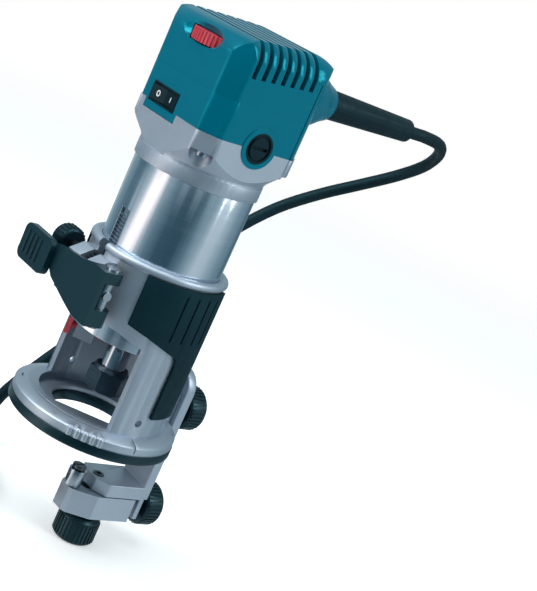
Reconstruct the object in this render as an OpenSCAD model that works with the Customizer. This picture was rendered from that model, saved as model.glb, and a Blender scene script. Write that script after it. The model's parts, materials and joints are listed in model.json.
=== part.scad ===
// Trim router: a motor unit that slides in a split aluminium base, closed by a cam lever,
// with a trimmer guide on the rear of the base.
// Millimetres. +Z is up along the spindle and -Y is the front, with the window and the lever.
// The origin is on the spindle axis at the underside of the sole.
// Angles named turn_ are counted from the front (-Y) towards +X.

/* [Base] */
// Outside diameter of the sole plate
sole_d = 91; // [80:1:100]
// Thickness of the sole plate
sole_t = 5.4; // [4:0.1:7]
// Diameter of the opening in the sole
opening_d = 46; // [30:1:50]
// Height of the sleeve's rim above the sole
sleeve_top = 99; // [85:1:110]

/* [Motor unit] */
// Outside diameter of the motor tube
tube_d = 65; // [60:0.5:70]
// Width of the square head, side to side
head_w = 69; // [66:0.5:76]
// Highest point of the head with the motor raised to its stored place
head_top = 222; // [215:0.5:230]
// Diameter of the cutter shank
shank_d = 8; // [6:0.5:8]

/* [Cord] */
// Diameter of the mains cord
cord_d = 7; // [6:0.1:8]
// Turns of cord side by side in each layer of the coil
coil_across = 4; // [3:1:6]

/* [Selection] */
// Sub-part to draw, or all of them

/* [Hidden] */
$fn = 96;

gap = 0.3;             // clearance between bodies that move past each other
fit = 0.05;            // radial clearance of a running fit
over = 1;              // how far a cutting shape runs past a face

aluminium = "#b9bec4";
dark_grip = "#1d2428";
black_plastic = "#15191c";
steel = "#a9adb2";
dark_steel = "#4a4e52";
teal = "#007387";
red = "#c8363c";
copper = "#a8603a";

sole_r = sole_d / 2;
opening_r = opening_d / 2;
tube_r = tube_d / 2;
sleeve_in = tube_r + gap;
sleeve_out = sleeve_in + 3.7;
flange_r = sole_r - 0.4;
rim_r = 2.4;           // the rolled rim at the sleeve's top
floor_z = 8;           // top of the casting's floor inside the sleeve
flange_top = 11.8;
split_half = 3;

tube_low = 53;
tube_high = 143;
casting_top = 170;
cover_seam = 189.5;
head_half = head_w / 2;
head_front = 32;
head_rear = 33;
corner_cut = 8.8;      // chamfer down each upright corner of the head
edge_r = 4;            // rounding of the chamfer's two edges
crown_r = 13;          // rounding of the head's top edges
top_slope = 3.4;       // fall of the head's top towards the front, in degrees
shell_t = 2.5;
cover_screw_x = 27;
cover_screw_y = 24.6;
brush_z = 171;
brush_y = 1;

pinion_y = -36.5;
pinion_z = 86;
tooth_module = 0.6;
pinion_teeth = 16;
pinion_pitch_r = tooth_module * pinion_teeth / 2;
rack_pitch_y = pinion_y + pinion_pitch_r;
rack_root_y = rack_pitch_y + 1.25 * tooth_module;
rack_back_y = rack_root_y + 0.8;
rack_half = 3.5;
rack_low = 68;
rack_high = 117;
rack_pitch = PI * tooth_module;
bolt_y = -40.5;
bolt_z = 78;
lever_x = 20;
lever_y = -40.5;

lock_turn = -40;
lock_z = 45.5;

dial_x = 1;
dial_y = -15.6;
dial_r = 18;
dial_low = 206.4;
dial_high = 212.6;
switch_x = -7.9;
switch_y = -26.5;
switch_low = 169.5;
switch_high = 179.6;

cord_z = 198;
cord_r = cord_d / 2;
guard_end = 125;
boss_end = 62;

knob_a_z = 16;
holder_y = 45.9;
holder_t = 5.6;
guide_block_top = -30;
guide_split = -37.5;
adjust_z = -44.7;
screw_b_y = 21;
roller_y = 6.5;
guide_knob_r = 12.4;

ground = -69;
coil_x = -81;
coil_y = -56;
coil_mid_r = 42;
coil_out_r = coil_mid_r + coil_across * cord_r;
coil_in_r = coil_mid_r - coil_across * cord_r;
turn_out_r = coil_out_r - cord_r;
tail_z = ground + 3 * cord_r;
tail_start = 12;
tail_length = 30;

// The lead from the guard to the coil: it falls behind the tool and lies on the ground.
cord_route = [
    [0, 125, 198], [0, 133, 198], [0, 142, 198], [-3, 158, 196], [-12, 171, 189], [-26, 179, 178],
    [-42, 178, 165], [-57, 169, 151], [-69, 153, 136], [-77, 133, 119], [-81, 112, 98],
    [-83, 91, 73], [-86, 70, 46], [-90, 50, 18], [-95, 31, -9], [-100, 17, -34],
    [-103, 11, -50], [-107, 0, -61], [-114, -12, -65.5],
    [coil_x - 0.8 * turn_out_r, coil_y + 0.6 * turn_out_r, -65.5]
];

// ---- Helpers ----

module at_turn(turn) {
    rotate([0, 0, turn]) children();
}

module ring(r_out, r_in, low, high) {
    translate([0, 0, low]) difference() {
        cylinder(r = r_out, h = high - low);
        translate([0, 0, -over]) cylinder(r = r_in, h = high - low + 2 * over);
    }
}

module block(x0, x1, y0, y1, z0, z1) {
    translate([x0, y0, z0]) cube([x1 - x0, y1 - y0, z1 - z0]);
}

module rod(r, low, high) {
    translate([0, 0, low]) cylinder(r = r, h = high - low);
}

module rod_x(r, y, z, x0, x1) {
    translate([x0, y, z]) rotate([0, 90, 0]) cylinder(r = r, h = x1 - x0);
}

module rod_y(r, x, z, y0, y1) {
    translate([x, y1, z]) rotate([90, 0, 0]) cylinder(r = r, h = y1 - y0);
}

// A flat wedge that covers the turns from a0 to a1.
module wedge(a0, a1, r) {
    steps = 6;
    polygon(concat([[0, 0]], [
        for (i = [0:steps]) let (a = a0 + (a1 - a0) * i / steps) [r * sin(a), -r * cos(a)]
    ]));
}

module slotted_round(r, half_slot, low, high) {
    difference() {
        rod(r, low, high);
        block(-half_slot, half_slot, -r - over, r + over, high - 1, high + over);
    }
}

module hexagon(across_flats) {
    circle(r = across_flats / sqrt(3), $fn = 6);
}

// Straight knurling: teeth that stand out of a plain core, between chamfered ends.
module knurl_outline(r, core_r, teeth) {
    polygon([
        for (i = [0:teeth - 1]) for (k = [0:3])
            let (a = 360 * (i + [0, 0.15, 0.5, 0.65][k]) / teeth)
            let (rr = (k == 1 || k == 2) ? r : core_r)
            [rr * cos(a), rr * sin(a)]
    ]);
}

module knurled_knob(r, h, teeth) {
    core_r = r - 0.6;
    rotate_extrude() polygon([
        [0, 0], [core_r - 1, 0], [core_r, 1], [core_r, h - 1.6], [core_r - 1.6, h], [0, h]
    ]);
    translate([0, 0, 1.6]) linear_extrude(h - 4) knurl_outline(r, core_r - 0.5, teeth);
}

// ---- Head outline ----

// An outline of straight sides that are tangent to a circle about each centre.
// The centres run anticlockwise.
module rounded(centres, r) {
    n = len(centres);
    polygon(centres);
    for (i = [0:n - 1]) let (a = centres[i], b = centres[(i + 1) % n])
        let (out = r * unit([b.y - a.y, a.x - b.x]))
        polygon([a, b, b + out, a + out]);
    for (c = centres) translate(c) circle(r = r);
}

module head_plan(inset) {
    x = head_half - edge_r;
    front = -head_front + edge_r;
    rear = head_rear - edge_r;
    cut = corner_cut - (2 - sqrt(2)) * edge_r;
    rounded([
        [x, front + cut], [x, rear - cut], [x - cut, rear], [cut - x, rear],
        [-x, rear - cut], [-x, front + cut], [cut - x, front], [x - cut, front]
    ], edge_r - inset);
}

// Rounded top seen along one axis: flat sides up to the shoulders, and a crown that falls
// by drop from the second shoulder to the first.
module crown(half_a, half_b, low, drop, inset) {
    top = head_top - crown_r;
    a = -half_a + crown_r;
    b = half_b - crown_r;
    rounded([[a, low], [b, low], [b, top], [a, top - drop]], crown_r - inset);
}

module head_solid(inset, low) {
    slope_drop = (head_front + head_rear - 2 * crown_r) * tan(top_slope);
    intersection() {
        translate([0, 0, low]) linear_extrude(head_top) head_plan(inset);
        translate([0, 50, 0]) rotate([90, 0, 0]) linear_extrude(100)
            crown(head_half, head_half, low - crown_r, 0, inset);
        rotate([90, 0, 90]) translate([0, 0, -50]) linear_extrude(100)
            crown(head_front, head_rear, low - crown_r, slope_drop, inset);
    }
}

// ---- Base ----

module window_outline() {
    polygon([
        [-34, flange_top + 0.2], [34, flange_top + 0.2], [34, 57.3], [25.8, 61.3], [16, 62.6],
        [0, 62.9], [-16, 62.6], [-25.8, 61.3], [-34, 57.3]
    ]);
}

module clamp_lug(x0, x1) {
    difference() {
        block(x0, x1, -46, -33.5, 66, 92);
        rod_x(2.55, bolt_y, bolt_z, x0 - over, x1 + over);
        translate([x0 - over, -46, 87.4]) rotate([32, 0, 0])
            block(0, x1 - x0 + 2 * over, -over, 10, 0, 8);
    }
}

module flange_ribs() {
    foot = sole_t + 0.4;
    for (turn = [41:5.3:63]) at_turn(turn) translate([0, 0.3 - flange_r, 0])
        rotate_extrude() polygon([[0, foot], [1.6, foot], [1.6, 9.8], [0.8, 11], [0, 11]]);
}

module base_casting() {
    color(aluminium) difference() {
        union() {
            rotate_extrude() polygon([
                [24, sole_t], [flange_r, sole_t], [flange_r, 9.4], [flange_r - 1, 10.4],
                [38.5, flange_top], [24, flange_top]
            ]);
            ring(sleeve_out, sleeve_in, flange_top - 1, sleeve_top - 0.8);
            translate([0, 0, sleeve_top - rim_r]) rotate_extrude()
                translate([sleeve_out - 1.2, 0]) circle(r = rim_r);
            clamp_lug(-13, -split_half);
            clamp_lug(split_half, 12.4);
            block(-8, 8, 34, holder_y - gap, sole_t, 26);
            flange_ribs();
            intersection() {
                rod(24.5, sole_t, floor_z);
                at_turn(50) block(-30, 30, -30, -12.8, sole_t, floor_z);
            }
        }
        rod(sleeve_in, floor_z, sleeve_top + over);
        translate([0, -sleeve_in + 20, 0]) rotate([90, 0, 0]) linear_extrude(50) window_outline();
        block(-split_half, split_half, -50, -25, 60, sleeve_top + over);
        for (turn = [-90, 90]) at_turn(turn) rod_y(2, 0, 19.3, -40, -30);
        for (turn = [45:90:315]) at_turn(turn) translate([0, -40, 0]) rod(1.8, sole_t - over, 9.5);
        rod_x(2.5 + fit, pinion_y, pinion_z, -14, 14);
        rod_y(3 + fit, 0, knob_a_z, 35.2, 50);
        at_turn(87) block(-0.3, 0.3, -flange_r - over, -39, sole_t + 1, flange_top + over);
        at_turn(-33) block(-2.5, 2.5, -flange_r + 3.2, -flange_r + 4, 10, flange_top + over);
    }
}

module sole_plate() {
    color(black_plastic) difference() {
        rotate_extrude() polygon([
            [opening_r, 0], [sole_r - 0.8, 0], [sole_r, 0.8], [sole_r, sole_t], [opening_r, sole_t]
        ]);
        for (turn = [45:90:315]) at_turn(turn) translate([0, -40, 0]) {
            rod(1.8, -over, sole_t + over);
            translate([0, 0, -0.01]) cylinder(r1 = 4, r2 = 1.8, h = 2.6);
        }
    }
}

module sole_screws() {
    color(steel) for (turn = [45:90:315]) at_turn(turn) translate([0, -40, 0]) difference() {
        union() {
            translate([0, 0, 0.4]) cylinder(r1 = 3.62, r2 = 1.8, h = 2.15);
            rod(1.8, 2.4, 9.5);
        }
        block(-0.4, 0.4, -2, 2, 0, 1.3);
        block(-2, 2, -0.4, 0.4, 0, 1.3);
    }
}

module grip() {
    difference() {
        intersection() {
            ring(sleeve_out + 1.8, sleeve_out, 20, 94.4);
            linear_extrude(100) wedge(47.5, 130, 60);
            rotate([90, 0, 90]) linear_extrude(60) polygon([
                [-26, 68], [-16, 65], [-1, 59.5], [4, 57.5], [5.5, 53], [5.5, 23], [30, 23],
                [30, 95], [-26, 95]
            ]);
        }
        for (turn = [83, 94, 106, 117]) at_turn(turn)
            block(-0.6, 0.6, -sleeve_out - 4, -sleeve_out - 1.1, 66, 91);
    }
}

module grip_right() {
    color(dark_grip) grip();
}

module grip_left() {
    color(dark_grip) mirror([1, 0, 0]) grip();
}

module clamp_bolt() {
    color(steel) {
        rod_x(2.5, bolt_y, bolt_z, -14, 24);
        translate([-17.5, bolt_y, bolt_z]) rotate([0, 90, 0]) linear_extrude(4.4) hexagon(8);
    }
}

module lever_pin() {
    color(dark_steel) translate([lever_x, lever_y, 0]) difference() {
        rod(3.6, 60.5, 92);
        rod_x(2.5, 0, bolt_z, -10, 10);
    }
}

module lever_ear(low, high) {
    difference() {
        union() {
            translate([lever_x, lever_y, 0]) rod(5.8, low, high);
            block(lever_x - 5.8, lever_x + 5.8, -49.2, lever_y, low, high);
        }
        translate([lever_x, lever_y, 0]) rod(3.6 + fit, low - over, high + over);
    }
}

module clamp_lever() {
    color(dark_grip) {
        lever_ear(62, 71);
        lever_ear(85, 91);
        block(lever_x + 2.5, lever_x + 5.8, -49.2, -46.4, 70, 86);
        translate([0, -46.7, 0]) rotate([90, 0, 0]) linear_extrude(2.5) polygon([
            [lever_x + 5.8, 62], [lever_x + 5.8, 91], [lever_x - 5.8, 91], [6, 89], [-14, 87],
            [-19, 86], [-19, 74], [-14, 70], [4, 64.5], [14, 62]
        ]);
        translate([-31.5, -48.8, 77.2]) rotate([90, 0, 0]) linear_extrude(3.8) {
            square([27, 11], center = true);
            square([19, 19.4], center = true);
            for (x = [-9.3, 9.3], y = [-5.4, 5.4]) translate([x, y]) circle(r = 4.3);
        }
        for (x = [-40:4.2:-27]) translate([x, -52.6, 71]) cylinder(r = 0.8, h = 12.5, $fn = 24);
    }
}

module pinion_outline() {
    root_r = pinion_pitch_r - 1.25 * tooth_module;
    tip_r = pinion_pitch_r + tooth_module;
    step = 360 / pinion_teeth;
    polygon([
        for (i = [0:pinion_teeth - 1]) for (k = [0:3])
            let (a = i * step + step * [-0.28, -0.06, 0.06, 0.28][k])
            let (r = (k == 0 || k == 3) ? root_r : tip_r)
            [r * cos(a), r * sin(a)]
    ]);
}

module pinion_shaft() {
    color(dark_steel) translate([0, pinion_y, pinion_z]) {
        rod_x(2.5, 0, 0, -27.5, 12.8);
        translate([-2.3, 0, 0]) rotate([90, 0, 90]) linear_extrude(4.6) pinion_outline();
    }
}

module height_knob() {
    color(black_plastic) translate([-24, pinion_y, pinion_z]) rotate([0, -90, 0]) difference() {
        knurled_knob(8.2, 10.5, 22);
        rod(2.5, -over, 3.5);
    }
}

// ---- Motor unit, parts that do not turn ----

module motor_tube() {
    color(steel) difference() {
        union() {
            rod(tube_r, tube_low, tube_high);
            rod(21, 50.3, tube_low + over);
        }
        rod(12, 50, 52);
        rod(14, 51.3, 61);
        rod(tube_r - 2.6, 60, tube_high + over);
        block(-rack_half, rack_half, -tube_r - over, rack_back_y, rack_low, rack_high);
        for (turn = [0:30:330]) at_turn(turn) translate([0, -24.5, tube_low - over])
            cylinder(r = 2.6, h = 12);
    }
}

// Teeth on the -Y side, with a gap facing the pinion at its height.
module motor_rack() {
    tip = rack_pitch_y - tooth_module;
    first = ceil((rack_low + 0.5 - pinion_z) / rack_pitch) + 0.5;
    count = floor((rack_high - rack_low) / rack_pitch) - 1;
    color(steel) translate([-rack_half, 0, 0]) rotate([90, 0, 90]) linear_extrude(2 * rack_half)
        polygon(concat(
            [[rack_back_y, rack_high], [rack_back_y, rack_low], [rack_root_y, rack_low]],
            [for (i = [0:count - 1]) let (z = pinion_z + (first + i) * rack_pitch)
                for (p = [[rack_root_y, -0.6], [tip, -0.16], [tip, 0.16], [rack_root_y, 0.6]])
                [p.x, z + p.y]],
            [[rack_root_y, rack_high]]
        ));
}

module head_casting() {
    color(aluminium) difference() {
        union() {
            ring(tube_r + 1.1, tube_r - 2.6, tube_high, 150);
            intersection() {
                rotate_extrude() polygon([
                    [10, 149], [33.6, 149], [33.4, 151.5], [34.6, 153.5], [39.5, 158.8],
                    [45, 165], [60, casting_top], [10, casting_top]
                ]);
                translate([0, 0, 149]) linear_extrude(casting_top - 149) head_plan(0);
            }
            for (sx = [-1, 1], sy = [-1, 1]) intersection() {
                translate([sx * 28.2, sy * 25.6, 0]) rod(7.4, 161, casting_top);
                translate([0, 0, 160]) linear_extrude(10) head_plan(-0.5);
            }
        }
        rod(tube_r - 2.6, 140, casting_top + over);
        for (sx = [-1, 1], sy = [-1, 1]) {
            translate([sx * 29, sy * 26.5, 0]) rotate_extrude() polygon([
                [0, 150], [5.2, 150], [6.1, 157], [6.1, 161], [0, 161]
            ]);
            translate([sx * cover_screw_x, sy * cover_screw_y, 0]) rod(1.8, 155, casting_top + over);
        }
        rod_x(10.5 + 0.02, brush_y, brush_z, -40, 40);
        block(-21.2, 6.7, -40, -head_front + shell_t, 165.3, casting_top + over);
        block(-19.4, 3.6, -40, -17.8, switch_low - 0.1, casting_top + over);
    }
}

module corner_bosses(low, high) {
    for (sx = [-1, 1], sy = [-1, 1])
        translate([sx * cover_screw_x, sy * cover_screw_y, 0]) rod(4.4, low, high);
}

module corner_bores(low, high) {
    for (sx = [-1, 1], sy = [-1, 1])
        translate([sx * cover_screw_x, sy * cover_screw_y, 0]) rod(1.8, low, high);
}

module lower_cover() {
    color(teal) difference() {
        union() {
            translate([0, 0, casting_top]) linear_extrude(cover_seam - casting_top) difference() {
                head_plan(0);
                head_plan(shell_t);
            }
            intersection() {
                corner_bosses(casting_top, cover_seam);
                translate([0, 0, 160]) linear_extrude(40) head_plan(0);
            }
            for (s = [0, 1]) mirror([s, 0, 0])
                rod_x(10.5, brush_y, brush_z, 27.5, head_half + 0.5);
            block(-21, 6.5, -head_front, -head_front + shell_t, 165.5, casting_top + over);
        }
        rod_x(8, brush_y, brush_z, -50, 50);
        block(switch_x - 11.4, switch_x + 11.4, -40, -20, switch_low, switch_high);
        rear_grooves();
        corner_bores(casting_top - over, cover_seam + over);
    }
}

// Height of the sloping crown at y.
function crown_z(y) = head_top - (head_rear - crown_r - y) * tan(top_slope);

module vent_slots() {
    for (i = [0:6]) let (y = -20 + 6.1 * i) {
        for (s = [0, 1]) mirror([s, 0, 0]) {
            block(head_half - 4, head_half + over, y - 1.35, y + 1.35, 202 + 0.5 * i, 213);
            block(head_half - 13, head_half + over, y - 1.35, y + 1.35, 211, 230);
        }
        block(-22, 22, y - 1.35, y + 1.35, crown_z(y) - 1.3, 230);
    }
}

module cord_boss() {
    intersection() {
        translate([0, 0, cord_z]) rotate([-90, 0, 0]) rotate_extrude() polygon([
            [0, 29], [20, 29], [19.5, 36], [17.6, 43], [14.6, 50], [11.4, 56], [9.6, 60.5],
            [8.6, boss_end], [0, boss_end]
        ]);
        block(-30, 30, head_rear - shell_t, 70, 170, 230);
    }
}

// The thumbwheel's recess: a scoop across the front with the wheel's slot behind it.
module dial_recess() {
    translate([dial_x, -60, 212.2]) rotate_extrude() translate([26, 0]) circle(r = 7);
    translate([dial_x, dial_y, 0]) rod(dial_r + 0.5, dial_low - 0.5, dial_high + 0.5);
}

// Shallow upright grooves where the rear of each cover begins.
module rear_grooves() {
    for (s = [0, 1]) mirror([s, 0, 0])
        block(head_half - 0.5, head_half + over, 22, 22.6, casting_top - over, 210);
}

module top_cover() {
    color(teal) difference() {
        union() {
            difference() {
                head_solid(0, cover_seam);
                head_solid(shell_t, cover_seam - over);
            }
            intersection() {
                union() {
                    corner_bosses(cover_seam, 205);
                    block(dial_x - 21, dial_x + 21, -head_front, -24, 203, head_top);
                }
                head_solid(0, cover_seam);
            }
            difference() {
                cord_boss();
                block(-40, 40, 20, head_rear, 160, cover_seam);
            }
        }
        vent_slots();
        dial_recess();
        rear_grooves();
        rod_y(6.2, 0, cord_z, 20, boss_end + over);
        rod_y(8.4, 0, cord_z, 36, 39);
        corner_bores(cover_seam - over, 200);
    }
}

module cover_screws() {
    color(steel) for (sx = [-1, 1], sy = [-1, 1])
        translate([sx * cover_screw_x, sy * cover_screw_y, 0]) {
            rod(1.8, 160, 200);
            difference() {
                rod(3.2, 158.4, 160.9);
                block(-0.45, 0.45, -4, 4, 157, 159.2);
            }
        }
}

module bearing_carrier() {
    color(black_plastic) difference() {
        rod(head_front - shell_t, 181, 189.5);
        rod(10.9, 182.2, 190);
        rod(7, 180, 190);
        for (s = [0, 1]) mirror([s, 0, 0]) rod_x(10.7, brush_y, brush_z, 27, 32);
        for (turn = [0:60:300]) at_turn(turn + 30) translate([0, -20, 180]) cylinder(r = 5, h = 10);
    }
}

module upper_bearing() {
    color(steel) ring(10.9, 8.7, 182.2, 189.2);
}

module lower_bearing() {
    color(steel) ring(14, 11.2, 51.3, 59.3);
}

module fan_baffle() {
    color(black_plastic) difference() {
        rod(tube_r - 2.65, 77, 79);
        rod(19, 76, 80);
    }
}

module field_core() {
    color(dark_steel) translate([0, 0, 90]) linear_extrude(40) difference() {
        circle(r = 29.6);
        circle(r = 18.4);
        for (s = [-1, 1]) translate([s * 15, 0]) square([20, 30], center = true);
    }
}

module field_coils() {
    color(copper) for (s = [0, 1]) mirror([s, 0, 0]) difference() {
        intersection() {
            ring(24.5, 18.8, 84, 136);
            block(8, 40, -14.7, 14.7, 80, 140);
        }
        rod(18.7, 80, 140);
    }
}

module brush_holders() {
    color("#b08d3c") for (s = [0, 1]) mirror([s, 0, 0]) difference() {
        block(12.5, 27, brush_y - 4.8, brush_y + 4.8, brush_z - 4.8, brush_z + 4.8);
        block(12, 28, brush_y - 3.3, brush_y + 3.3, brush_z - 3.3, brush_z + 3.3);
    }
}

module carbon_brushes() {
    color("#2b2b2d") for (s = [0, 1]) mirror([s, 0, 0])
        block(11.35, 19.5, brush_y - 3.3, brush_y + 3.3, brush_z - 3.3, brush_z + 3.3);
}

// A round-wire compression spring along +X from the origin.
module coil_spring(r, wire_r, turns, length) {
    sides = 6;
    per_turn = 14;
    count = turns * per_turn;
    lift = length - 2 * wire_r;
    points = [
        for (i = [0:count]) let (a = 360 * i / per_turn, x = wire_r + lift * i / count)
            for (k = [0:sides - 1]) let (b = 360 * k / sides, rr = r + wire_r * cos(b))
                [x + wire_r * sin(b), rr * cos(a), rr * sin(a)]
    ];
    faces = concat(
        [[for (k = [0:sides - 1]) k]],
        [[for (k = [sides - 1:-1:0]) count * sides + k]],
        [for (i = [0:count - 1]) for (k = [0:sides - 1]) let (n = (k + 1) % sides)
            [i * sides + k, (i + 1) * sides + k, (i + 1) * sides + n, i * sides + n]]
    );
    polyhedron(points, faces, convexity = 10);
}

module brush_springs() {
    color(steel) for (s = [0, 1]) mirror([s, 0, 0])
        translate([19.6, brush_y, brush_z]) coil_spring(2.4, 0.3, 5, 7.8);
}

module brush_cap() {
    color(black_plastic) difference() {
        rod_x(8, brush_y, brush_z, 27.6, head_half + 0.3);
        translate([head_half - 0.7, brush_y, brush_z]) rotate([0, 90, 0]) ring(6.9, 5.6, 0, 3);
        block(head_half - 1.2, head_half + over, brush_y - 5, brush_y + 5,
              brush_z - 0.8, brush_z + 0.8);
    }
}

module brush_cap_right() {
    brush_cap();
}

module brush_cap_left() {
    mirror([1, 0, 0]) brush_cap();
}

module switch_body() {
    color(black_plastic) difference() {
        block(switch_x - 11.3, switch_x + 11.3, -head_front - 0.4, -20.5, switch_low, switch_high);
        block(switch_x - 10.4, switch_x + 10.4, -head_front - over, -22,
              switch_low + 1, switch_high - 1);
        translate([switch_x, switch_y, 0]) rod(1.2 + fit, switch_low + 0.3, switch_high - 0.3);
    }
}

// The rocker tilts about an upright pin; stored with its left end pressed in.
module switch_rocker() {
    half = 9.6;
    color(black_plastic) translate([switch_x, switch_y, 0]) {
        rotate([0, 0, 6])
            translate([0, 0, switch_low + 1.3])
            linear_extrude(switch_high - switch_low - 2.6)
            polygon([
                [-half, -6.3], [0, -4.9], [half, -6.3], [half, -2], [3, 2.5], [-3, 2.5],
                [-half, -2]
            ]);
        rod(1.2, switch_low + 0.4, switch_high - 0.4);
    }
}

module speed_controller() {
    color("#2f6b3c") {
        block(-22, 22, -26, 16, 193.5, 195.1);
        translate([dial_x, dial_y, 0]) rod(6.5, 195, 204);
        translate([dial_x, dial_y, 0]) rod(2.5, 204, dial_high - 0.6);
        block(-20, -6, -8, 12, 195, 203);
        block(6, 18, -4, 12, 195, 200);
    }
}

module speed_dial() {
    color(red) translate([dial_x, dial_y, dial_low]) difference() {
        linear_extrude(dial_high - dial_low) knurl_outline(dial_r, dial_r - 0.6, 48);
        rod(2.5 + fit, -over, 10);
    }
}

module shaft_lock_block() {
    color("#8b9298") at_turn(lock_turn) difference() {
        block(-5, 5, -25.2, -14.6, 40.6, 50.3);
        rod_y(2 + fit, 0, lock_z, -16, -10);
        rod_y(3, 0, lock_z, -23, -16);
        rod_y(2 + fit, 0, lock_z, -30, -22);
    }
}

module shaft_lock_button() {
    color(red) at_turn(lock_turn) {
        rod_y(2, 0, lock_z, -28, -8.2);
        block(-5, 5, -30.6, -27.8, 40.8, 50.1);
        rod_y(2.9, 0, lock_z, -22.7, -21.7);
    }
}

module shaft_lock_spring() {
    color(steel) at_turn(lock_turn) translate([0, -21.7, lock_z]) rotate([0, 0, 90])
        coil_spring(2.5, 0.25, 3, 3.2);
}

// ---- Rotor ----

module spindle() {
    color(steel) difference() {
        union() {
            rod(7.5, 24, 32);
            rod(6.5, 32, 50);
            rod(6, 50, 61);
            rod(4.5, 61, 191);
        }
        translate([0, 0, 23.99]) cylinder(r1 = 6.5, r2 = 4.9, h = 14);
        rod(4.2, 37, 52);
        for (turn = [0:90:270]) at_turn(lock_turn + turn) rod_y(2.2, 0, lock_z, -8, -4.9);
    }
}

// Inner races, each with its balls seated in it.
module rotor_races() {
    color(steel) {
        ring(8, 6, 51.4, 59.2);
        for (i = [0:9]) rotate([0, 0, 36 * i]) translate([9.5, 0, 55.3]) sphere(r = 1.6, $fn = 24);
        ring(6, 4.5, 182.4, 189);
        for (i = [0:7]) rotate([0, 0, 45 * i]) translate([7.3, 0, 185.7]) sphere(r = 1.35, $fn = 24);
    }
}

module fan() {
    color(black_plastic) difference() {
        union() {
            rod(7.5, 63, 74);
            rod(26.5, 63, 64.6);
            for (i = [0:14]) rotate([0, 0, 24 * i]) translate([6, 0, 64]) rotate([0, 0, 25])
                block(0, 19.5, -0.6, 0.6, 0, 9);
        }
        rod(4.5, 60, 80);
    }
}

module armature_core() {
    color(dark_steel) translate([0, 0, 90]) linear_extrude(40) difference() {
        circle(r = 18);
        circle(r = 4.5);
        for (i = [0:11]) rotate([0, 0, 30 * i]) translate([15.8, 0]) circle(r = 1.7);
    }
}

module armature_windings() {
    color(copper) for (z = [[81, 90], [130, 139]]) ring(15.4, 4.5, z[0], z[1]);
}

module commutator() {
    color(copper) difference() {
        union() {
            rod(11, 163, 178);
            rod(12.4, 160.5, 163.5);
        }
        rod(4.5, 160, 180);
        for (i = [0:23]) rotate([0, 0, 15 * i]) block(10.3, 12, -0.2, 0.2, 164.5, 179);
    }
}

module collet_cone() {
    color(steel) difference() {
        union() {
            translate([0, 0, 21.2]) cylinder(r1 = 6.7, r2 = 6.7, h = 1.2);
            translate([0, 0, 22.3]) cylinder(r1 = 6.0, r2 = 6.2, h = 1.6);
            translate([0, 0, 23.9]) cylinder(r1 = 6.35, r2 = 4.82, h = 13);
        }
        rod(shank_d / 2, 20, 40);
        for (turn = [45:90:135]) rotate([0, 0, turn]) block(-8, 8, -0.3, 0.3, 26, 40);
    }
}

module collet_nut() {
    color(dark_steel) difference() {
        intersection() {
            union() {
                translate([0, 0, 19.7]) linear_extrude(11.3) hexagon(19.5);
                translate([0, 0, 31]) cylinder(r1 = 9.6, r2 = 8.8, h = 2);
            }
            rotate_extrude() polygon([
                [0, 19.7], [10.2, 19.7], [11.6, 20.8], [11.6, 30], [9.9, 31], [9.9, 34], [0, 34]
            ]);
        }
        rod(5.6, 18, 22);
        rod(6.8, 21.1, 23);
        rod(7.5 + fit, 22.5, 34);
    }
}

// ---- Cord ----

module cord_guard() {
    color(black_plastic) difference() {
        translate([0, 0, cord_z]) rotate([-90, 0, 0]) rotate_extrude() polygon([
            [0, 36], [8.4, 36], [8.4, 39], [6.2, 39], [6.2, boss_end], [8, boss_end],
            [6.3, guard_end], [0, guard_end]
        ]);
        rod_y(cord_r, 0, cord_z, 30, guard_end + over);
    }
}

module cord_clamp() {
    color(black_plastic) difference() {
        block(-12, 12, 22, 29, cord_z - 6, cord_z + 5);
        rod_y(cord_r, 0, cord_z, 20, 30);
    }
}

module cord_lead() {
    color(black_plastic) rod_y(cord_r, 0, cord_z, 18, guard_end);
}

function spline(p, i, t) =
    let (n = len(p) - 1)
    let (a = p[max(i - 1, 0)], b = p[i], c = p[i + 1], d = p[min(i + 2, n)])
    0.5 * ((2 * b) + (c - a) * t + (2 * a - 5 * b + 4 * c - d) * t * t
           + (3 * b - a - 3 * c + d) * t * t * t);
function smooth(p, parts) = concat(
    [for (i = [0:len(p) - 2]) for (k = [0:parts - 1]) spline(p, i, k / parts)],
    [p[len(p) - 1]]
);
function unit(v) = v / norm(v);
function heading(p, i) =
    let (n = len(p) - 1) unit(p[min(i + 1, n)] - p[max(i - 1, 0)]);

// A round tube swept along a list of points. Each ring is turned out from a level side.
module swept_tube(path, r, sides) {
    last = len(path) - 1;
    points = [
        for (i = [0:last])
            let (h = heading(path, i))
            let (side = unit(cross([0.2, 0.1, 1], h) + [0.001, 0, 0]))
            let (up = cross(h, side))
            for (k = [0:sides - 1]) let (a = 360 * k / sides)
                path[i] + r * (cos(a) * side + sin(a) * up)
    ];
    faces = concat(
        [[for (k = [0:sides - 1]) k]],
        [[for (k = [sides - 1:-1:0]) last * sides + k]],
        [for (i = [0:last - 1]) for (k = [0:sides - 1]) let (n = (k + 1) % sides)
            [i * sides + k, (i + 1) * sides + k, (i + 1) * sides + n, i * sides + n]]
    );
    polyhedron(points, faces, convexity = 10);
}

module cord_tube() {
    color(black_plastic) swept_tube(smooth(cord_route, 2), cord_r, 10);
}

module cord_coil() {
    color(black_plastic) translate([coil_x, coil_y, ground]) rotate_extrude()
        translate([coil_in_r, 0]) square([coil_out_r - coil_in_r, 4 * cord_r]);
}

// The tail leaves the upper layer of the coil and runs straight into the plug.
module along_tail() {
    translate([coil_x - 0.8 * turn_out_r, coil_y + 0.6 * turn_out_r, tail_z])
        rotate([0, 0, atan2(-0.8, -0.6)]) children();
}

module cord_tail() {
    color(black_plastic) along_tail() rod_x(cord_r, 0, 0, tail_start, tail_start + tail_length);
}

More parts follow.
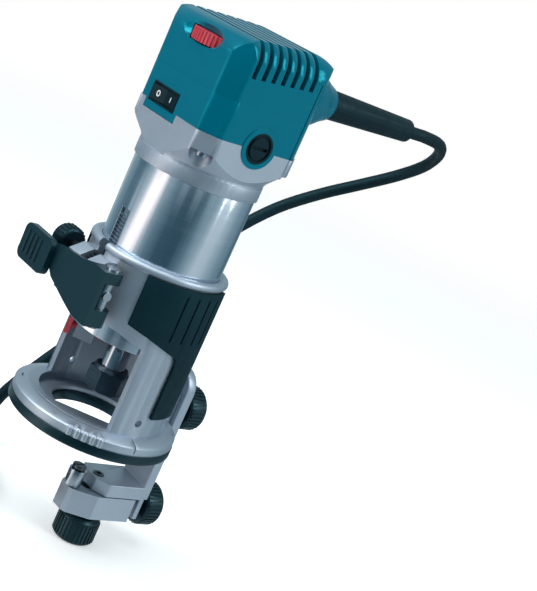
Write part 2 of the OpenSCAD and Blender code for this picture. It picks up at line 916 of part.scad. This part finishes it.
module plug_body() {
    start = tail_start + tail_length;
    color(black_plastic) along_tail() union() {
        translate([start, 0, 0]) rotate([0, 90, 0]) cylinder(r1 = 4.6, r2 = 6.5, h = 20);
        translate([start + 20, 0, 0]) rotate([0, 90, 0]) cylinder(r1 = 6.5, r2 = 10.4, h = 8);
        translate([start + 27, -9, -10.4]) cube([15, 18, 20.8]);
        for (s = [-1, 1]) translate([start + 27, s * 9, 0]) rotate([0, 90, 0])
            cylinder(r = 10.4, h = 15);
    }
}

module plug_pins() {
    start = tail_start + tail_length + 42;
    color(steel) along_tail() for (s = [-1, 1]) rod_x(2.4, s * 9.5, 0, start, start + 19);
}

// ---- Trimmer guide ----

module guide_clamp_screw_a() {
    color(black_plastic) translate([0, 0, knob_a_z]) rotate([-90, 0, 0]) {
        translate([0, 0, 54]) knurled_knob(guide_knob_r, 12, 34);
        rod(6, holder_y + holder_t + gap, 54);
        rod(3, 36, 53);
    }
}

module guide_holder() {
    color(aluminium) difference() {
        union() {
            translate([0, holder_y + holder_t, 0]) rotate([90, 0, 0]) linear_extrude(holder_t) {
                translate([-11, guide_split]) square([22, 28 - guide_split]);
                translate([0, 28]) circle(r = 11);
            }
            translate([0, 0, guide_split]) linear_extrude(guide_block_top - guide_split) polygon([
                [-12, 19], [-9, 16.5], [5, 16.5], [12, 22], [12, 47], [-12, 47]
            ]);
            block(-9, 9, 48.3, holder_y + holder_t, adjust_z - 6.5, guide_split + over);
        }
        for (z = [6, 26]) rod_y(3.4, 0, z, 40, 60);
        block(-3.4, 3.4, 40, 60, 6, 26);
        translate([0, screw_b_y, 0]) rod(3 + fit, guide_split - over, guide_block_top + over);
        rod_y(2.5 + fit, 0, adjust_z, 40, 60);
    }
}

module guide_adjusting_screw() {
    color(black_plastic) translate([0, 0, adjust_z]) rotate([-90, 0, 0]) {
        translate([0, 0, 54]) knurled_knob(guide_knob_r, 12, 34);
        rod(6, holder_y + holder_t + gap, 54);
        rod(2.5, 35.2, 53);
    }
}

module guide_clamp_screw_b() {
    color(black_plastic) translate([0, screw_b_y, 0]) difference() {
        union() {
            translate([0, 0, ground]) knurled_knob(12, 15, 32);
            rod(7, -54.2, -52.2);
            rod(3, -53, guide_block_top + 0.4);
        }
        translate([0, 0, -32]) linear_extrude(4) hexagon(3);
    }
}

module guide_arm() {
    low = -51.5;
    high = guide_split - gap;
    color(aluminium) difference() {
        translate([0, 0, low]) linear_extrude(high - low) polygon([
            [-12, 43], [-12, 17], [-6.5, 5], [-4.5, 2.8], [3.5, 2.8], [6, 4.5], [12, 17.5], [12, 43]
        ]);
        block(-3.4, 3.4, 16.6, 26.9, low - over, high + over);
        for (y = [16.6, 26.9]) translate([0, y, 0]) rod(3.4, low - over, high + over);
        rod_y(2.5 + fit, 0, adjust_z, 28, 50);
        translate([0, roller_y, 0]) rod(1.8, -49, high + over);
    }
}

module guide_roller() {
    color(steel) translate([0, roller_y, 0]) difference() {
        rod(4.75, guide_split + 0.1, -28.2);
        rod(1.8 + fit, -40, -20);
    }
}

module roller_screw() {
    color(dark_steel) translate([0, roller_y, 0]) {
        rod(1.8, -49, -27);
        slotted_round(3.8, 0.5, -27.9, -25.6);
    }
}

base_casting();
sole_plate();
sole_screws();
grip_right();
grip_left();
clamp_bolt();
lever_pin();
clamp_lever();
pinion_shaft();
height_knob();
motor_tube();
motor_rack();
head_casting();
lower_cover();
top_cover();
cover_screws();
bearing_carrier();
upper_bearing();
lower_bearing();
fan_baffle();
field_core();
field_coils();
brush_holders();
carbon_brushes();
brush_springs();
brush_cap_right();
brush_cap_left();
switch_body();
switch_rocker();
speed_controller();
speed_dial();
shaft_lock_block();
shaft_lock_button();
shaft_lock_spring();
spindle();
rotor_races();
fan();
armature_core();
armature_windings();
commutator();
collet_cone();
collet_nut();
cord_guard();
cord_clamp();
cord_lead();
cord_tube();
cord_coil();
cord_tail();
plug_body();
plug_pins();
guide_clamp_screw_a();
guide_holder();
guide_adjusting_screw();
guide_clamp_screw_b();
guide_arm();
guide_roller();
roller_screw();
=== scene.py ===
"""The looks of the trim router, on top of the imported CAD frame."""

import json
import math

import bmesh
import bpy
from mathutils import Matrix, Vector


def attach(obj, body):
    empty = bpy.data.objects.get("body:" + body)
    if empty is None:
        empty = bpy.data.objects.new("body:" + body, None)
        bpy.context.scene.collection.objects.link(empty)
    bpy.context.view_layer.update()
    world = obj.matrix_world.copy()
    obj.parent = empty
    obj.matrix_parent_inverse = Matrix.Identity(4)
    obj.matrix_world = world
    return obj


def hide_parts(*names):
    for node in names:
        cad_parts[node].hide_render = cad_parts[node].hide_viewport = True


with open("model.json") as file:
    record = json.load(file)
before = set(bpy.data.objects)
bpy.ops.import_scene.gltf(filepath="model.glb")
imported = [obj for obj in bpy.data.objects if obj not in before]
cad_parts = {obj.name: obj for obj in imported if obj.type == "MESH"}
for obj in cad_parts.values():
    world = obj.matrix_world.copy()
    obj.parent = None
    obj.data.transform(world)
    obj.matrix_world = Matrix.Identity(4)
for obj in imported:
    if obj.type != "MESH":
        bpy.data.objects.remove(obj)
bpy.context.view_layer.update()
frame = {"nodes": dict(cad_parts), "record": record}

MM = 0.001
GROUND = -69 * MM


# ---- Camera ----

CAMERA_TARGET = Vector((0, 0, 0.100))
CAMERA_AZIMUTH = 50
CAMERA_ELEVATION = 12.925
CAMERA_DISTANCE = 0.750
CAMERA_ROLL = 23.506
CAMERA_LENS = 89.65
CAMERA_SHIFT = (0.1788, -0.0755)


def make_camera():
    azimuth, elevation = math.radians(CAMERA_AZIMUTH), math.radians(CAMERA_ELEVATION)
    back = Vector((
        math.sin(azimuth) * math.cos(elevation),
        -math.cos(azimuth) * math.cos(elevation),
        math.sin(elevation),
    ))
    data = bpy.data.cameras.new("camera")
    data.sensor_width = 36
    data.lens = CAMERA_LENS
    data.shift_x, data.shift_y = CAMERA_SHIFT
    camera = bpy.data.objects.new("camera", data)
    bpy.context.collection.objects.link(camera)
    camera.matrix_world = (
        Matrix.Translation(CAMERA_TARGET + back * CAMERA_DISTANCE)
        @ back.to_track_quat("Z", "Y").to_matrix().to_4x4()
        @ Matrix.Rotation(math.radians(CAMERA_ROLL), 4, "Z")
    )
    bpy.context.scene.camera = camera


make_camera()


# ---- Materials ----

# Most of a noise's values lie between these two.
NOISE_LOW, NOISE_HIGH = 0.3, 0.7


class Nodes:
    """A short way to write a material's nodes."""

    def __init__(self, name, **settings):
        self.material = bpy.data.materials.new(name)
        self.material.use_nodes = True
        self.tree = self.material.node_tree
        self.shader = self.tree.nodes["Principled BSDF"]
        for socket, value in settings.items():
            self.shader.inputs[socket.replace("_", " ")].default_value = value
        self.place = self.tree.nodes.new("ShaderNodeTexCoord").outputs["Object"]

    def link(self, a, b):
        self.tree.links.new(a, b)

    def stretched(self, x, y, z):
        node = self.tree.nodes.new("ShaderNodeMapping")
        node.inputs["Scale"].default_value = (x, y, z)
        self.link(self.place, node.inputs["Vector"])
        return node.outputs["Vector"]

    def noise(self, scale, detail=4, rough=0.5, vector=None):
        node = self.tree.nodes.new("ShaderNodeTexNoise")
        node.inputs["Scale"].default_value = scale
        node.inputs["Detail"].default_value = detail
        node.inputs["Roughness"].default_value = rough
        self.link(vector or self.place, node.inputs["Vector"])
        return node.outputs["Fac"]

    def voronoi(self, scale):
        node = self.tree.nodes.new("ShaderNodeTexVoronoi")
        node.inputs["Scale"].default_value = scale
        self.link(self.place, node.inputs["Vector"])
        return node.outputs["Distance"]

    def remap(self, value, low, high):
        """The noise's usual values, spread from low to high."""
        node = self.tree.nodes.new("ShaderNodeMapRange")
        for name, number in (
            ("From Min", NOISE_LOW), ("From Max", NOISE_HIGH), ("To Min", low), ("To Max", high),
        ):
            node.inputs[name].default_value = number
        self.link(value, node.inputs["Value"])
        return node.outputs["Result"]

    def blend_colours(self, factor, first, second):
        node = self.tree.nodes.new("ShaderNodeMix")
        node.data_type = "RGBA"
        node.inputs["A"].default_value = (*first, 1)
        node.inputs["B"].default_value = (*second, 1)
        self.link(factor, node.inputs["Factor"])
        return node.outputs["Result"]

    def colour(self, factor, first, second):
        self.link(self.blend_colours(factor, first, second), self.shader.inputs["Base Color"])

    def roughness(self, value):
        self.link(value, self.shader.inputs["Roughness"])

    def bump(self, height, strength, distance):
        node = self.tree.nodes.new("ShaderNodeBump")
        node.inputs["Strength"].default_value = strength
        node.inputs["Distance"].default_value = distance
        self.link(height, node.inputs["Height"])
        self.link(node.outputs["Normal"], self.shader.inputs["Normal"])


def moulded(name, colour, rough=0.38, grain=0.25, **settings):
    """Moulded plastic: a fine spark-eroded grain and a faint drift of colour."""
    n = Nodes(name, **settings)
    drift = n.remap(n.noise(18, 3), 0, 1)
    n.colour(drift, [c * 0.96 for c in colour], [c * 1.03 for c in colour])
    n.roughness(n.remap(n.noise(140, 4), rough - 0.02, rough + 0.03))
    n.bump(n.noise(2600, 3, 0.6), grain, 0.00006)
    return n.material


def cast_metal(name, colour, rough=0.46, grain=0.3):
    """Satin die casting: a soft pebble and slightly clouded reflections."""
    n = Nodes(name, Metallic=0.8)
    drift = n.remap(n.noise(35, 4), 0, 1)
    n.colour(drift, [c * 0.94 for c in colour], colour)
    n.roughness(n.remap(n.noise(220, 5), rough - 0.04, rough + 0.04))
    n.bump(n.noise(1400, 4, 0.6), grain, 0.00008)
    return n.material


def turned_metal(name, colour, rough=0.2, grain=0.12, along=(4, 4, 900)):
    """Turned metal: fine marks round the axis, drawn out by a stretched noise."""
    n = Nodes(name, Metallic=1.0)
    marks = n.noise(3, 6, 0.6, n.stretched(*along))
    n.colour(n.remap(marks, 0, 1), [c * 0.94 for c in colour], colour)
    n.roughness(n.remap(marks, rough - 0.04, rough + 0.06))
    n.bump(marks, grain, 0.00004)
    return n.material


def rubbery(name, colour, rough=0.55, **settings):
    """Rubber or carbon: dull, with a fine cell pattern."""
    n = Nodes(name, **settings)
    n.colour(n.remap(n.noise(30, 3), 0, 1), [c * 0.8 for c in colour], [c * 1.15 for c in colour])
    n.roughness(n.remap(n.noise(160, 4), rough - 0.08, rough + 0.1))
    n.bump(n.voronoi(1800), 0.3, 0.00008)
    return n.material


def wound_wire(name, colour):
    """Windings: strands drawn as dark and light bands."""
    n = Nodes(name, Metallic=0.85)
    strands = n.noise(6, 2, 0.5, n.stretched(60, 60, 900))
    n.colour(n.remap(strands, 0, 1), [c * 0.5 for c in colour], colour)
    n.roughness(n.remap(strands, 0.35, 0.5))
    n.bump(strands, 0.8, 0.0003)
    return n.material


SILVER = (0.44, 0.51, 0.59)
STEEL = (0.42, 0.47, 0.53)
MATT = {"Specular_IOR_Level": 0.3, "Specular_Tint": (0.35, 0.85, 1.0, 1)}
GLOSS = {"Specular_IOR_Level": 0.6, "Specular_Tint": (0.45, 0.85, 1.0, 1)}
TEAL_GLOSS = {"Specular_IOR_Level": 0.9, "Specular_Tint": (0.0, 0.8, 1.0, 1)}

MATERIALS = {
    "cast_aluminium": cast_metal("cast_aluminium", SILVER),
    "turned_aluminium": turned_metal("turned_aluminium", (0.68, 0.75, 0.83), 0.17, 0.03),
    "sole_plastic": moulded("sole_plastic", (0.001, 0.009, 0.014), 0.3, **GLOSS),
    "grip_rubber": rubbery("grip_rubber", (0.001, 0.013, 0.020), **MATT),
    "lever_plastic": moulded("lever_plastic", (0.003, 0.017, 0.024), 0.32, **GLOSS),
    "knob_plastic": moulded("knob_plastic", (0.001, 0.010, 0.014), 0.3, **GLOSS),
    "black_plastic": moulded("black_plastic", (0.002, 0.008, 0.012), 0.4, **MATT),
    "lock_grey": moulded("lock_grey", (0.16, 0.21, 0.26), 0.4),
    "teal_plastic": moulded("teal_plastic", (0.0, 0.108, 0.162), 0.2, 0.15, **TEAL_GLOSS),
    "red_plastic": moulded("red_plastic", (0.46, 0.035, 0.055), 0.36),
    "screw_steel": turned_metal("screw_steel", STEEL, 0.24, 0.1, (900, 900, 900)),
    "dark_steel": turned_metal("dark_steel", (0.10, 0.12, 0.14), 0.34, 0.15, (60, 60, 900)),
    "bearing_steel": turned_metal("bearing_steel", (0.42, 0.48, 0.53), 0.24, 0.06),
    "spindle_steel": turned_metal("spindle_steel", (0.50, 0.55, 0.62), 0.22, 0.12),
    "nut_steel": turned_metal("nut_steel", (0.10, 0.14, 0.17), 0.3, 0.12, (60, 60, 400)),
    "core_steel": turned_metal("core_steel", (0.22, 0.23, 0.25), 0.4, 0.5, (2, 2, 1500)),
    "spring_steel": turned_metal("spring_steel", STEEL, 0.25, 0.05, (500, 500, 500)),
    "copper_wire": wound_wire("copper_wire", (0.60, 0.24, 0.11)),
    "brass_parts": turned_metal("brass_parts", (0.65, 0.48, 0.18), 0.3, 0.1, (200, 200, 200)),
    "carbon": rubbery("carbon", (0.02, 0.02, 0.022), 0.6),
    "circuit_board": moulded("circuit_board", (0.02, 0.14, 0.06), 0.4),
    "cord_rubber": rubbery("cord_rubber", (0.003, 0.010, 0.014), 0.5, **MATT),
    "mark_white": moulded("mark_white", (0.80, 0.84, 0.86), 0.45),
    "chrome_pins": turned_metal("chrome_pins", (0.72, 0.73, 0.75), 0.14, 0.03, (90, 90, 90)),
}


def dress_nodes():
    """Each CAD node takes its slot's material."""
    for row in frame["record"]["subparts"]:
        piece = frame["nodes"][row["node"]]
        piece.data.materials.clear()
        piece.data.materials.append(MATERIALS[row["material_slot"]])


EDGE_MM = {
    "base_casting": 0.45, "head_casting": 0.4, "lower_cover": 0.3, "top_cover": 0.5,
    "clamp_lever": 0.7, "guide_holder": 0.5, "guide_arm": 0.7, "grip_right": 0.5,
    "grip_left": 0.5, "sole_plate": 0.4, "motor_tube": 0.25, "collet_nut": 0.25,
    "motor_rack": 0.06, "pinion_shaft": 0.06, "speed_dial": 0.15, "switch_rocker": 0.35,
    "plug_body": 0.8,
}
OTHER_EDGES_MM = 0.2
PLAIN_EDGES = {"brush_springs", "shaft_lock_spring", "rotor_races"}
WELD_DISTANCE = 0.002 * MM
FLAT_WITHIN_DEG = 0.6
SHARP_FROM_DEG = 32


def break_edges():
    """Sharp edges are broken a little, on meshes cleared of needless flat divisions."""
    for name, piece in frame["nodes"].items():
        if name in PLAIN_EDGES:
            continue
        weld = piece.modifiers.new("weld", "WELD")
        weld.merge_threshold = WELD_DISTANCE
        flat = piece.modifiers.new("flat", "DECIMATE")
        flat.decimate_type = "DISSOLVE"
        flat.angle_limit = math.radians(FLAT_WITHIN_DEG)
        bevel = piece.modifiers.new("edges", "BEVEL")
        bevel.width = EDGE_MM.get(name, OTHER_EDGES_MM) * MM
        bevel.segments = 2
        bevel.limit_method = "ANGLE"
        bevel.angle_limit = math.radians(SHARP_FROM_DEG)
        bevel.harden_normals = True


dress_nodes()
break_edges()


# ---- Cord ----

CORD_D = 7
CORD_R = CORD_D / 2
GUARD_END = (0, 125, 198)
COIL_CENTRE = (-81, -56)
COIL_MID_R = 42
TURNS_ACROSS = 4
COIL_STEPS = 30
STEP_SHARE = 60 / 360
TAIL_END = 42
TAIL_STEP = 7
TAIL_WAY = Vector((-0.6, -0.8, 0))
CORD_ROUTE = [
    GUARD_END, (0, 133, 198), (0, 142, 198), (-3, 158, 196), (-12, 171, 189), (-26, 179, 178),
    (-42, 178, 165), (-57, 169, 151), (-69, 153, 136), (-77, 133, 119), (-81, 112, 98),
    (-83, 91, 73), (-86, 70, 46), (-90, 50, 18), (-95, 31, -9), (-100, 17, -34),
    (-103, 11, -50), (-107, 0, -61), (-114, -12, -65.5),
]


def spline_point(points, i, t):
    """A point of the Catmull-Rom curve between points i and i + 1."""
    a, b = points[max(i - 1, 0)], points[i]
    c, d = points[i + 1], points[min(i + 2, len(points) - 1)]
    return 0.5 * (
        2 * b + (c - a) * t + (2 * a - 5 * b + 4 * c - d) * t ** 2
        + (3 * b - a - 3 * c + d) * t ** 3
    )


def ease(t):
    t = min(max(t, 0), 1)
    return t * t * (3 - 2 * t)


def coil_points():
    """A flat coil that steps inwards turn by turn, climbs once, and steps outwards again."""
    outer = COIL_MID_R + (TURNS_ACROSS / 2 - 0.5) * CORD_D
    low = GROUND / MM + CORD_R
    step_in = [(k + 300 / 360, -CORD_D) for k in range(TURNS_ACROSS - 1)]
    first_out = TURNS_ACROSS + 0.5
    step_out = [(first_out + k, CORD_D) for k in range(TURNS_ACROSS - 1)]
    climb = TURNS_ACROSS - 1 + 240 / 360
    start = math.atan2(0.6, -0.8)
    last = (2 * TURNS_ACROSS - 1) * COIL_STEPS
    points = []
    for i in range(last + 1):
        turn = i / COIL_STEPS
        radius = outer + sum(
            change * ease((turn - begin) / STEP_SHARE) for begin, change in step_in + step_out
        )
        z = low + CORD_D * ease((turn - climb) / STEP_SHARE)
        angle = start + 2 * math.pi * turn
        points.append(Vector((
            COIL_CENTRE[0] + radius * math.cos(angle),
            COIL_CENTRE[1] + radius * math.sin(angle),
            z,
        )))
    return points


def cord_line():
    """The centreline: out of the guard, down behind the tool, round the coil, to the plug."""
    coil = coil_points()
    route = [Vector(p) for p in CORD_ROUTE] + [coil[0]]
    smooth = [
        spline_point(route, i, k / 4) for i in range(len(route) - 1) for k in range(4)
    ]
    tail = [coil[-1] + TAIL_WAY * d for d in range(TAIL_STEP, TAIL_END + 1, TAIL_STEP)]
    return [p * MM for p in smooth + coil + tail]


def curve_object(name, points, radius, material):
    data = bpy.data.curves.new(name, "CURVE")
    data.dimensions = "3D"
    data.bevel_depth = radius
    data.bevel_resolution = 4
    data.use_fill_caps = True
    spline = data.splines.new("POLY")
    spline.points.add(len(points) - 1)
    for point, place in zip(spline.points, points):
        point.co = (*place, 1)
    spline.use_smooth = True
    data.materials.append(material)
    piece = bpy.data.objects.new(name, data)
    bpy.context.collection.objects.link(piece)
    return piece


def make_cord():
    line = cord_line()
    cord = curve_object("cord", line, CORD_R * MM, MATERIALS["cord_rubber"])
    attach(cord, "motor")
    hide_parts("cord_tube", "cord_coil", "cord_tail")


make_cord()


# ---- Marks on the rocker ----

# The rocker's pivot, its stored tilt, and the flats either side of its crown.
ROCKER_PIVOT = (-7.9, -26.5, 174.55)
ROCKER_TILT = 6
ROCKER_CREST = (0, -4.9)
ROCKER_END = (9.6, -6.3)
MARK_H = 0.12
MARK_ROOT = -0.05


def raised_outline(form, outline, place):
    """A thin raised strip between two matching rows of points, closed into a loop."""
    n = len(outline)
    rows = []
    for height in (MARK_ROOT, MARK_H):
        for k in (0, 1):
            rows.append([form.verts.new(place(*pair[k], height)) for pair in outline])
    inner_low, outer_low, inner_high, outer_high = rows
    for i in range(n):
        j = (i + 1) % n
        for a, b in (
            (inner_low, outer_low), (outer_low, outer_high), (outer_high, inner_high),
            (inner_high, inner_low),
        ):
            form.faces.new((a[i], b[i], b[j], a[j]))


def make_rocker_mark(name, side, outline):
    """A raised mark in the middle of one of the rocker's two flats."""
    end = Vector((side * ROCKER_END[0], ROCKER_END[1], 0))
    along = (end - Vector((*ROCKER_CREST, 0))).normalized()
    out = along.cross(Vector((0, 0, side)))
    if out.y > 0:
        out = -out
    middle = Vector((side * ROCKER_END[0] / 2, (ROCKER_END[1] + ROCKER_CREST[1]) / 2, 0))
    turn = Matrix.Translation(ROCKER_PIVOT) @ Matrix.Rotation(math.radians(ROCKER_TILT), 4, "Z")
    form = bmesh.new()
    raised_outline(
        form, outline,
        lambda a, b, h: turn @ (middle + along * a + Vector((0, 0, b)) + out * h) * MM,
    )
    bmesh.ops.recalc_face_normals(form, faces=form.faces[:])
    mesh = bpy.data.meshes.new(name)
    form.to_mesh(mesh)
    form.free()
    mesh.materials.append(MATERIALS["mark_white"])
    mark = bpy.data.objects.new(name, mesh)
    bpy.context.collection.objects.link(mark)
    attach(mark, "rocker")


def ring_outline(half_width, half_height, line, steps):
    """An upright oval ring, as pairs of an inner and an outer point."""
    turns = [2 * math.pi * i / steps for i in range(steps)]
    return [
        (
            ((half_width - line) * math.cos(t), (half_height - line) * math.sin(t)),
            (half_width * math.cos(t), half_height * math.sin(t)),
        )
        for t in turns
    ]


make_rocker_mark("mark_off", -1, ring_outline(1.1, 1.6, 0.45, 28))
make_rocker_mark("mark_on", 1, ring_outline(0.3, 1.5, 0.28, 12))


# ---- Floor, lights and world ----

FLOOR_R = 2.5
FLOOR_DROP = 0.0003
# Distances from the tool over which the floor fades from the camera and from reflections.
SEEN_FADE = (0.6, 1.7)
REFLECTED_FADE = (-0.25, 0.25)
def smooth_step(n, value, low, high):
    """A soft 0 to 1 between two distances or heights."""
    node = n.tree.nodes.new("ShaderNodeMapRange")
    node.interpolation_type = "SMOOTHSTEP"
    node.inputs["From Min"].default_value = low
    node.inputs["From Max"].default_value = high
    n.link(value, node.inputs["Value"])
    return node.outputs["Result"]


def make_floor():
    """A pale disc that fades out, sooner for reflections so that metal shows the studio."""
    mesh = bpy.data.meshes.new("floor")
    form = bmesh.new()
    bmesh.ops.create_circle(form, cap_ends=True, segments=96, radius=FLOOR_R)
    form.to_mesh(mesh)
    form.free()
    floor = bpy.data.objects.new("floor", mesh)
    floor.location.z = GROUND - FLOOR_DROP
    bpy.context.collection.objects.link(floor)
    n = Nodes("floor", Roughness=0.9, Emission_Color=(1, 0.98, 0.96, 1), Emission_Strength=0.38)
    n.colour(n.remap(n.noise(2, 2), 0, 1), (0.88, 0.88, 0.88), (0.90, 0.90, 0.90))
    clear = n.tree.nodes.new("ShaderNodeBsdfTransparent")
    mix = n.tree.nodes.new("ShaderNodeMixShader")
    far = n.tree.nodes.new("ShaderNodeVectorMath")
    far.operation = "LENGTH"
    n.link(n.place, far.inputs[0])
    ray = n.tree.nodes.new("ShaderNodeLightPath")
    fade = n.tree.nodes.new("ShaderNodeMix")
    n.link(ray.outputs["Is Glossy Ray"], fade.inputs["Factor"])
    n.link(smooth_step(n, far.outputs["Value"], *SEEN_FADE), fade.inputs["A"])
    n.link(smooth_step(n, far.outputs["Value"], *REFLECTED_FADE), fade.inputs["B"])
    n.link(fade.outputs["Result"], mix.inputs["Fac"])
    n.link(n.shader.outputs["BSDF"], mix.inputs[1])
    n.link(clear.outputs["BSDF"], mix.inputs[2])
    n.link(mix.outputs["Shader"], n.tree.nodes["Material Output"].inputs["Surface"])
    mesh.materials.append(n.material)


def make_light(name, azimuth, elevation, distance, size, power):
    """A soft rectangle that faces the middle of the tool."""
    a, e = math.radians(azimuth), math.radians(elevation)
    away = Vector((math.sin(a) * math.cos(e), -math.cos(a) * math.cos(e), math.sin(e)))
    data = bpy.data.lights.new(name, "AREA")
    data.shape = "RECTANGLE"
    data.size, data.size_y = size
    data.energy = power
    light = bpy.data.objects.new(name, data)
    light.matrix_world = (
        Matrix.Translation(Vector((0, 0, 0.1)) + away * distance)
        @ away.to_track_quat("Z", "Y").to_matrix().to_4x4()
    )
    bpy.context.collection.objects.link(light)


# Brightness of the studio's walls by compass angle, counted from the front towards the right.
WALL_TONES = [
    (-90, 0.33), (-78, 0.24), (-60, 0.16), (-46, 0.33), (-33, 0.60), (-22, 1.60), (-9, 1.60),
    (2, 0.45), (18, 0.22), (34, 0.10), (66, 0.08), (82, 0.22), (98, 0.40), (112, 0.66),
    (130, 0.62), (146, 0.45), (162, 0.32), (180, 0.26), (196, 0.12), (208, 0.30), (226, 0.55),
    (244, 0.55), (262, 0.36), (270, 0.33),
]
CEILING_TONE = 0.44
# Heights of the view direction over which walls turn into ceiling.
CEILING_RISE = (0.1, 0.5)


def wall_colour(tone):
    """The darker a wall, the further it leans to slate blue."""
    return (tone ** 1.35, tone, tone ** 0.87, 1)


def make_world():
    """A studio of light and dark walls under a plain ceiling, with a white backdrop."""
    world = bpy.data.worlds.new("studio")
    world.use_nodes = True
    tree = world.node_tree
    place = tree.nodes.new("ShaderNodeTexCoord").outputs["Generated"]
    compass = tree.nodes.new("ShaderNodeTexGradient")
    compass.gradient_type = "RADIAL"
    tree.links.new(place, compass.inputs["Vector"])
    walls = tree.nodes.new("ShaderNodeValToRGB")
    tree.links.new(compass.outputs["Fac"], walls.inputs["Fac"])
    stops = walls.color_ramp.elements
    stops[0].color = wall_colour(WALL_TONES[0][1])
    stops[-1].color = wall_colour(WALL_TONES[-1][1])
    for turn, tone in WALL_TONES[1:-1]:
        stops.new((turn + 90) / 360).color = wall_colour(tone)
    height = tree.nodes.new("ShaderNodeSeparateXYZ")
    tree.links.new(place, height.inputs["Vector"])
    rise = tree.nodes.new("ShaderNodeMapRange")
    rise.interpolation_type = "SMOOTHSTEP"
    rise.inputs["From Min"].default_value, rise.inputs["From Max"].default_value = CEILING_RISE
    tree.links.new(height.outputs["Z"], rise.inputs["Value"])
    room = tree.nodes.new("ShaderNodeMix")
    room.data_type = "RGBA"
    room.inputs["B"].default_value = wall_colour(CEILING_TONE)
    tree.links.new(rise.outputs["Result"], room.inputs["Factor"])
    tree.links.new(walls.outputs["Color"], room.inputs["A"])
    studio = tree.nodes["Background"]
    tree.links.new(room.outputs["Result"], studio.inputs["Color"])
    backdrop = tree.nodes.new("ShaderNodeBackground")
    backdrop.inputs["Color"].default_value = (1, 1, 1, 1)
    ray = tree.nodes.new("ShaderNodeLightPath")
    mix = tree.nodes.new("ShaderNodeMixShader")
    tree.links.new(ray.outputs["Is Camera Ray"], mix.inputs["Fac"])
    tree.links.new(studio.outputs["Background"], mix.inputs[1])
    tree.links.new(backdrop.outputs["Background"], mix.inputs[2])
    tree.links.new(mix.outputs["Shader"], tree.nodes["World Output"].inputs["Surface"])
    bpy.context.scene.world = world


make_floor()
make_light("key", -22, 45, 1.2, (0.5, 0.7), 9)
make_light("right", 122, 30, 1.2, (0.45, 0.7), 5)
make_light("top", 50, 80, 1.3, (0.8, 0.8), 6)
make_world()
bpy.context.scene.view_settings.view_transform = "Standard"
